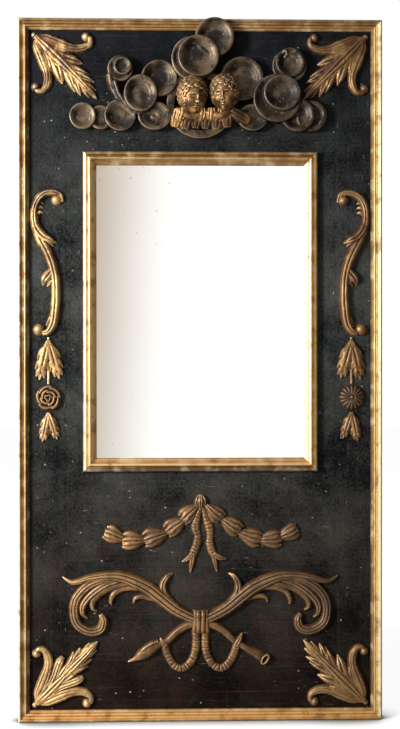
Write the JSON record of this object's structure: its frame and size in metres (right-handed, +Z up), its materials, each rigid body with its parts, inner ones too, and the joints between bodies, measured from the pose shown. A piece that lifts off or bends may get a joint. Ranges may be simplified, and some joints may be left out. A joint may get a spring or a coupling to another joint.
{
  "type": "wall mirror",
  "caption": "Tall black panel wall mirror with gilt mouldings, carved gilt corner leaves, side scrolls, a cloud crest with cherub heads, a husk festoon and crossed leafy branches",
  "frame": {"origin": "middle of the top batten's rear face, where the mirror bears on the wall, on the panel's middle line", "axes": "+Z up along the panel, +Y out of its back towards the wall, +X to the right as seen from the front"},
  "size_m": [0.874, 0.1181, 1.684],
  "materials": {
    "painted_pine": "worn black paint on pine boards",
    "bare_pine": "old unpainted pine",
    "gilt_wood": "worn water gilding over gesso on carved wood",
    "silvered_wood": "tarnished silver leaf over gesso on carved wood",
    "mirror_plate": "tin and mercury backed plate, lightly foxed",
    "brass": "aged brass",
    "iron": "dark wrought iron"
  },
  "bodies": {
    "panel": {"back_screws": "brass", "backboard": "bare_pine", "batten_bottom": "bare_pine", "batten_middle": "bare_pine", "batten_nails": "iron", "batten_top": "bare_pine", "branch_band": "gilt_wood", "branch_left": "gilt_wood", "branch_right": "gilt_wood", "cherub_head_left": "gilt_wood", "cherub_head_right": "gilt_wood", "cloud_base": "silvered_wood", "cloud_crown": "silvered_wood", "cloud_left": "silvered_wood", "cloud_right": "silvered_wood", "corner_leaf_bottom_left": "gilt_wood", "corner_leaf_bottom_right": "gilt_wood", "corner_leaf_top_left": "gilt_wood", "corner_leaf_top_right": "gilt_wood", "corner_studs": "gilt_wood", "drop_leaves_left": "gilt_wood", "drop_leaves_right": "gilt_wood", "festoon_bow": "gilt_wood", "festoon_left": "gilt_wood", "festoon_right": "gilt_wood", "foot_leaves_left": "gilt_wood", "foot_leaves_right": "gilt_wood", "glass_strips": "bare_pine", "hanger_left": "iron", "hanger_right": "iron", "inner_moulding_bottom": "gilt_wood", "inner_moulding_left": "gilt_wood", "inner_moulding_right": "gilt_wood", "inner_moulding_top": "gilt_wood", "inner_strip_left": "painted_pine", "inner_strip_right": "painted_pine", "lower_board_foot": "painted_pine", "lower_board_middle": "painted_pine", "lower_board_top": "painted_pine", "mirror_glass": "mirror_plate", "outer_moulding_bottom": "gilt_wood", "outer_moulding_left": "gilt_wood", "outer_moulding_right": "gilt_wood", "outer_moulding_top": "gilt_wood", "ribbon_loop_left": "gilt_wood", "ribbon_loop_right": "gilt_wood", "rosette_left": "gilt_wood", "rosette_right": "gilt_wood", "side_scroll_left": "gilt_wood", "side_scroll_right": "gilt_wood", "stile_left": "painted_pine", "stile_right": "painted_pine", "top_board": "painted_pine", "wings": "gilt_wood"},
    "ring_left": {"ring_left": "iron"},
    "ring_right": {"ring_right": "iron"},
    "turn_button_left_lower": {"turn_button_left_lower": "brass"},
    "turn_button_left_upper": {"turn_button_left_upper": "brass"},
    "turn_button_right_lower": {"turn_button_right_lower": "brass"},
    "turn_button_right_upper": {"turn_button_right_upper": "brass"}
  },
  "joints": [
    {"name": "button_turn_left_lower", "type": "hinge", "parent": "panel", "child": "turn_button_left_lower", "pos_m": [-0.278, -0.02, -0.6754], "axis": [0, 1, 0], "continuous": true},
    {"name": "button_turn_left_upper", "type": "hinge", "parent": "panel", "child": "turn_button_left_upper", "pos_m": [-0.278, -0.02, -0.3866], "axis": [0, 1, 0], "continuous": true},
    {"name": "button_turn_right_lower", "type": "hinge", "parent": "panel", "child": "turn_button_right_lower", "pos_m": [0.278, -0.02, -0.6754], "axis": [0, 1, 0], "continuous": true},
    {"name": "button_turn_right_upper", "type": "hinge", "parent": "panel", "child": "turn_button_right_upper", "pos_m": [0.278, -0.02, -0.3866], "axis": [0, 1, 0], "continuous": true},
    {"name": "ring_left_swing", "type": "hinge", "parent": "panel", "child": "ring_left", "pos_m": [-0.377, -0.01492, -0.069], "axis": [1, 0, 0], "range_deg": [0, 180]},
    {"name": "ring_right_swing", "type": "hinge", "parent": "panel", "child": "ring_right", "pos_m": [0.377, -0.01492, -0.069], "axis": [1, 0, 0], "range_deg": [0, 180]}
  ]
}
